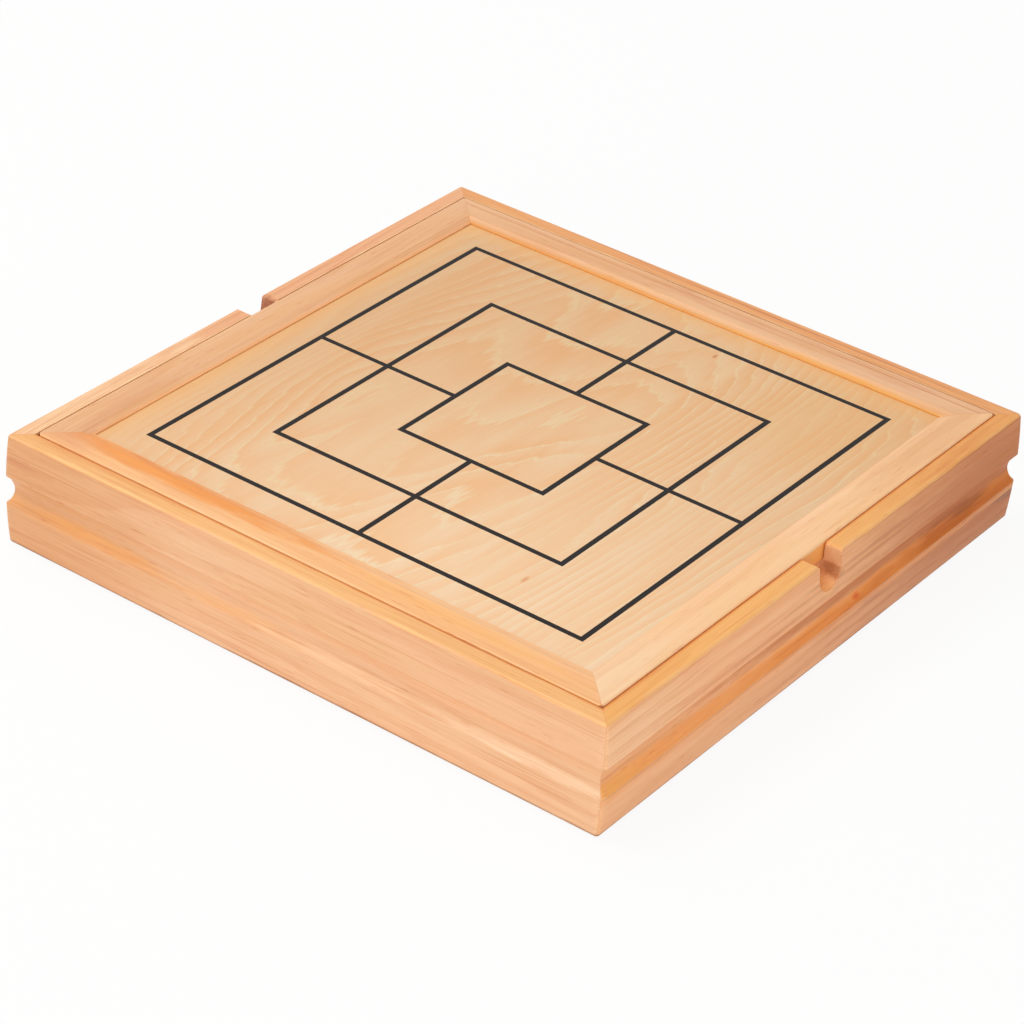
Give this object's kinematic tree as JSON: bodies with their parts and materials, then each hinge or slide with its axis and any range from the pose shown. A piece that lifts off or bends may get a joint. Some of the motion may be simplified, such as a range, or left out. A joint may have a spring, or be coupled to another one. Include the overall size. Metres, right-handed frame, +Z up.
{
  "type": "games compendium box",
  "caption": "Shallow square wooden case of board games: moulded mitred sides, a lift-off morris board lid, divided bays with playing pieces.",
  "frame": {"origin": "centre of the underside of the case, on the surface it stands on", "axes": "+Z up; -Y the front; +X and -X the sides with the finger notches"},
  "size_m": [0.2918, 0.2918, 0.05],
  "materials": {
    "varnished_pine": "satin honey varnish over pine",
    "pale_pine": "satin clear varnish over pale pine",
    "board_plywood": "satin clear varnish over rotary cut plywood",
    "base_plywood": "raw sanded plywood",
    "divider_plywood": "raw sanded plywood",
    "black_ink": "satin printed ink",
    "brown_ink": "satin printed ink",
    "red_cards": "coated card",
    "blue_cards": "coated card",
    "dice_wood": "waxed beech with painted pips",
    "domino_wood": "dark stained beech with white pips",
    "stick_wood": "raw birch with dyed bands",
    "light_pieces": "waxed beech",
    "dark_pieces": "dark stained beech"
  },
  "bodies": {
    "case": {"front_side": "varnished_pine", "back_side": "varnished_pine", "left_side": "varnished_pine", "right_side": "varnished_pine", "bottom_panel": "base_plywood", "front_divider": "divider_plywood", "middle_divider": "divider_plywood", "left_divider": "divider_plywood", "right_divider": "divider_plywood", "dice_divider": "divider_plywood", "pick_up_sticks": "stick_wood", "dice": "dice_wood", "red_card_pack": "red_cards", "blue_card_pack": "blue_cards", "dominoes": "domino_wood", "light_draughtsmen": "light_pieces", "dark_draughtsmen": "dark_pieces", "light_pawns": "light_pieces", "light_rooks": "light_pieces", "light_knights": "light_pieces", "light_bishops": "light_pieces", "light_queen": "light_pieces", "light_king": "light_pieces", "dark_pawns": "dark_pieces", "dark_rooks": "dark_pieces", "dark_knights": "dark_pieces", "dark_bishops": "dark_pieces", "dark_queen": "dark_pieces", "dark_king": "dark_pieces"},
    "lid": {"lid_front_rail": "pale_pine", "lid_back_rail": "pale_pine", "lid_left_rail": "pale_pine", "lid_right_rail": "pale_pine", "lid_panel": "board_plywood", "morris_lines": "black_ink", "chequer_squares": "brown_ink"}
  },
  "joints": [
    {"name": "lid_lift", "type": "slide", "parent": "case", "child": "lid", "axis": [0, 0, 1], "range_m": [0, 0.08]}
  ]
}
